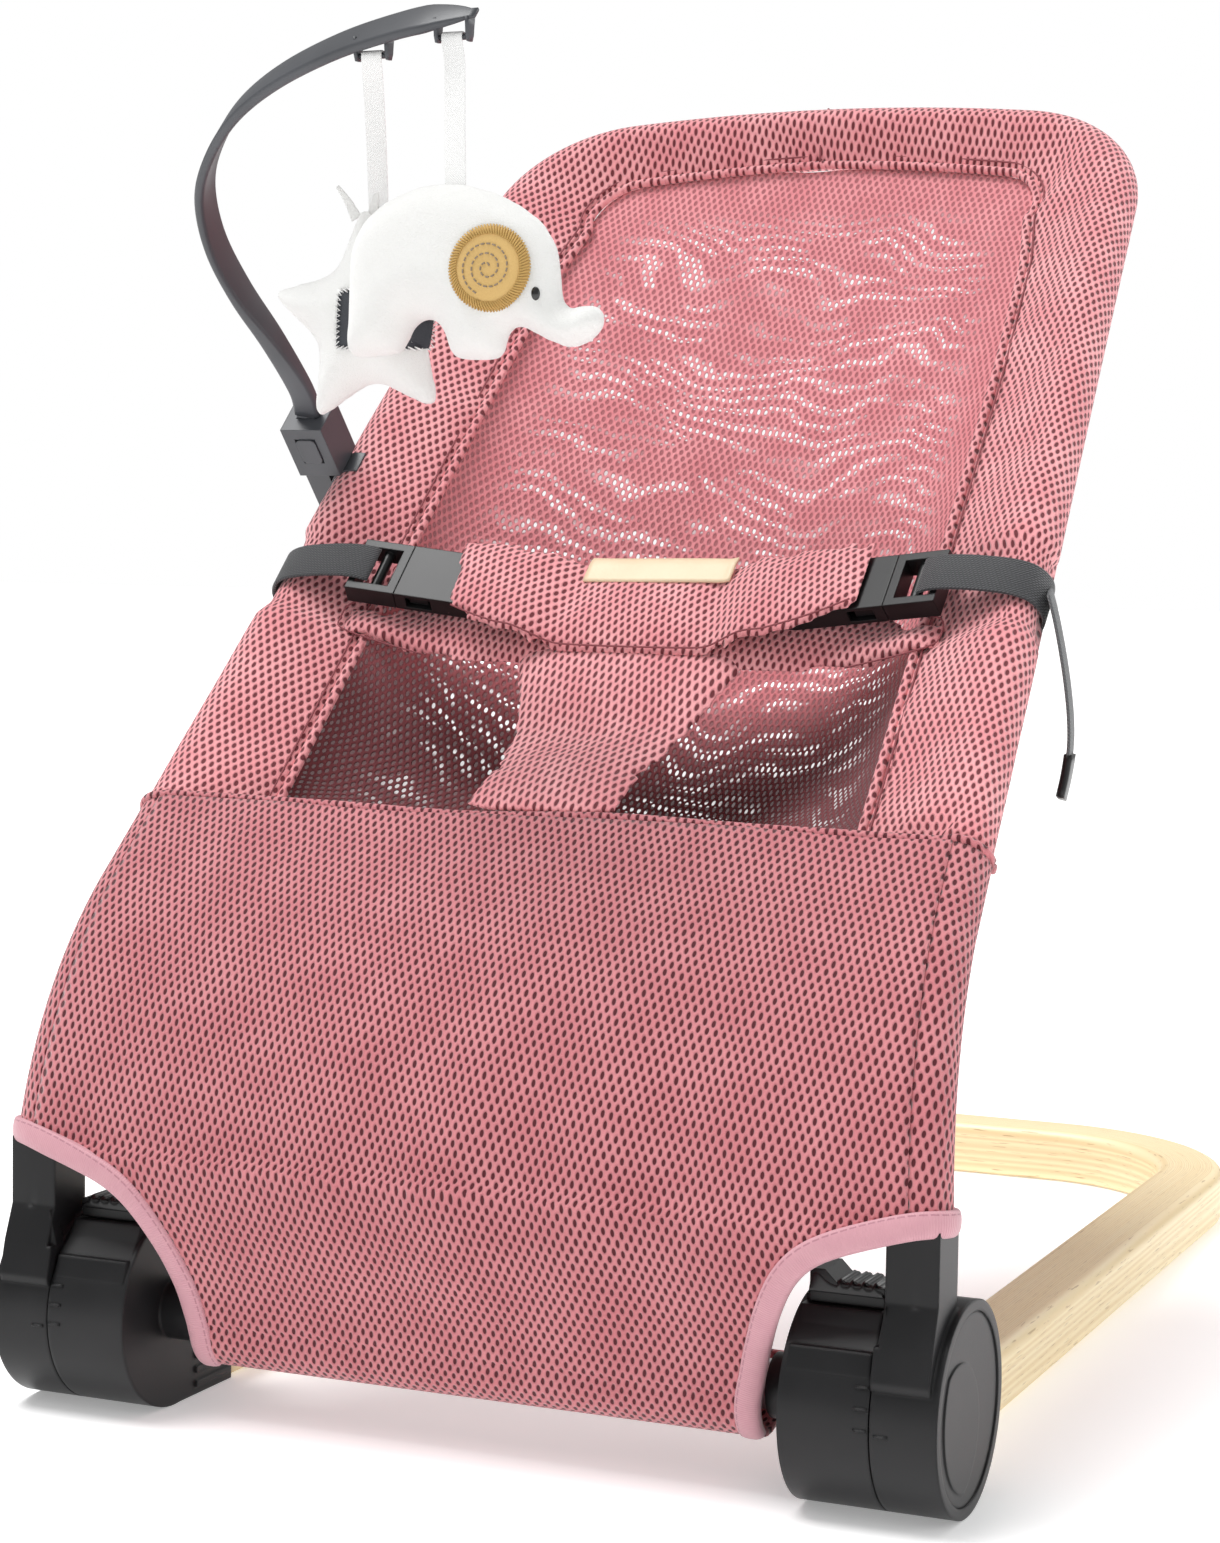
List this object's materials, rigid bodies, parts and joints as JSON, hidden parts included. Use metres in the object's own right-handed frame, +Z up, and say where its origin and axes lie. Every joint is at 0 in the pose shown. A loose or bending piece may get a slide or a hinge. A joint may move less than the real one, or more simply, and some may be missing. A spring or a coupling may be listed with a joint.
{
  "type": "baby bouncer seat",
  "caption": "Reclining mesh baby seat on a bent tube frame, with hub hinges, a U-shaped wooden base bow, a buckled waist belt and a removable toy bar.",
  "frame": {"origin": "middle of the footprint, on the floor", "axes": "+X to the right as seen from the front of the seat, +Y from the hubs to the back of the bow, +Z up"},
  "size_m": [0.4, 0.684, 0.5676],
  "materials": {
    "wood": "clear satin lacquer",
    "hub_plastic": "dark grey satin",
    "black_plastic": "black gloss",
    "bar_plastic": "mid grey satin",
    "steel": "zinc plated",
    "frame_paint": "dark grey powder coat",
    "rubber_pads": "matte",
    "mesh_fabric": "two-layer air mesh with mauve binding",
    "sling_fabric": "single-layer open mesh",
    "patch_leather": "smooth cream, blank",
    "webbing": "fine woven grey satin",
    "plush": "short off-white plush",
    "felt": "tan felt"
  },
  "bodies": {
    "base": {"base_bow": "wood", "inner_housing_left": "hub_plastic", "inner_housing_right": "hub_plastic", "cross_tube": "steel", "hub_bolts": "steel", "hub_nuts": "steel", "bow_screws": "steel", "bow_pads": "rubber_pads", "release_spring_left": "steel", "release_spring_right": "steel"},
    "release_left": {"release_slider_left": "black_plastic", "lock_ring_left": "steel"},
    "release_right": {"release_slider_right": "black_plastic", "lock_ring_right": "steel"},
    "seat": {"outer_housing_left": "hub_plastic", "outer_housing_right": "hub_plastic", "hub_cap_left": "hub_plastic", "hub_cap_right": "hub_plastic", "lower_tube_left": "frame_paint", "lower_tube_right": "frame_paint", "upper_tube": "frame_paint", "arm_screws": "steel", "frame_screws": "steel", "hem_sleeve": "mesh_fabric", "leg_panel": "mesh_fabric", "side_sleeve_left": "mesh_fabric", "side_sleeve_right": "mesh_fabric", "seat_border": "mesh_fabric", "seat_sling": "sling_fabric", "crotch_strap": "mesh_fabric", "waist_pad": "mesh_fabric", "waist_flap": "mesh_fabric", "label_patch": "patch_leather", "buckle_female_left": "black_plastic", "buckle_female_right": "black_plastic", "clip_body": "bar_plastic", "clip_spring": "steel"},
    "buckle_left": {"buckle_male_left": "black_plastic", "webbing_left": "webbing"},
    "buckle_right": {"buckle_male_right": "black_plastic", "webbing_right": "webbing", "strap_tail": "webbing"},
    "clip_button": {"clip_button": "bar_plastic"},
    "toy_bar": {"toy_bar": "bar_plastic"},
    "elephant": {"elephant_toy": "plush", "elephant_ears": "felt", "elephant_strap": "plush"},
    "star": {"star_toy": "plush", "star_strap": "plush"}
  },
  "joints": [
    {"name": "seat_recline", "type": "hinge", "parent": "base", "child": "seat", "pos_m": [0, -0.3015, 0.0405], "axis": [-1, 0, 0], "range_deg": [0, 52]},
    {"name": "release_left_slide", "type": "slide", "parent": "base", "child": "release_left", "axis": [1, 0, 0], "range_m": [0, 0.005], "stiffness_N_per_m": 600, "springref_m": -0.004, "deforming": ["release_spring_left"]},
    {"name": "release_right_slide", "type": "slide", "parent": "base", "child": "release_right", "axis": [-1, 0, 0], "range_m": [0, 0.005], "stiffness_N_per_m": 600, "springref_m": -0.004, "deforming": ["release_spring_right"]},
    {"name": "buckle_left_slide", "type": "slide", "parent": "seat", "child": "buckle_left", "axis": [-0.9863, -0.1146, 0.1187], "range_m": [0, 0.022]},
    {"name": "buckle_right_slide", "type": "slide", "parent": "seat", "child": "buckle_right", "axis": [0.9863, -0.1146, 0.1187], "range_m": [0, 0.022]},
    {"name": "toy_bar_pull", "type": "slide", "parent": "seat", "child": "toy_bar", "axis": [0, -0.6947, 0.7193], "range_m": [0, 0.024]},
    {"name": "clip_button_press", "type": "slide", "parent": "seat", "child": "clip_button", "axis": [0, 0.7193, 0.6947], "range_m": [0, 0.002], "stiffness_N_per_m": 800, "springref_m": -0.002, "deforming": ["clip_spring"]},
    {"name": "elephant_swing", "type": "hinge", "parent": "toy_bar", "child": "elephant", "pos_m": [-0.032, -0.27332, 0.55313], "axis": [1, 0, 0], "range_deg": [-30, 0]},
    {"name": "star_swing", "type": "hinge", "parent": "toy_bar", "child": "star", "pos_m": [-0.07, -0.26857, 0.5482], "axis": [1, 0, 0], "range_deg": [0, 30]}
  ]
}
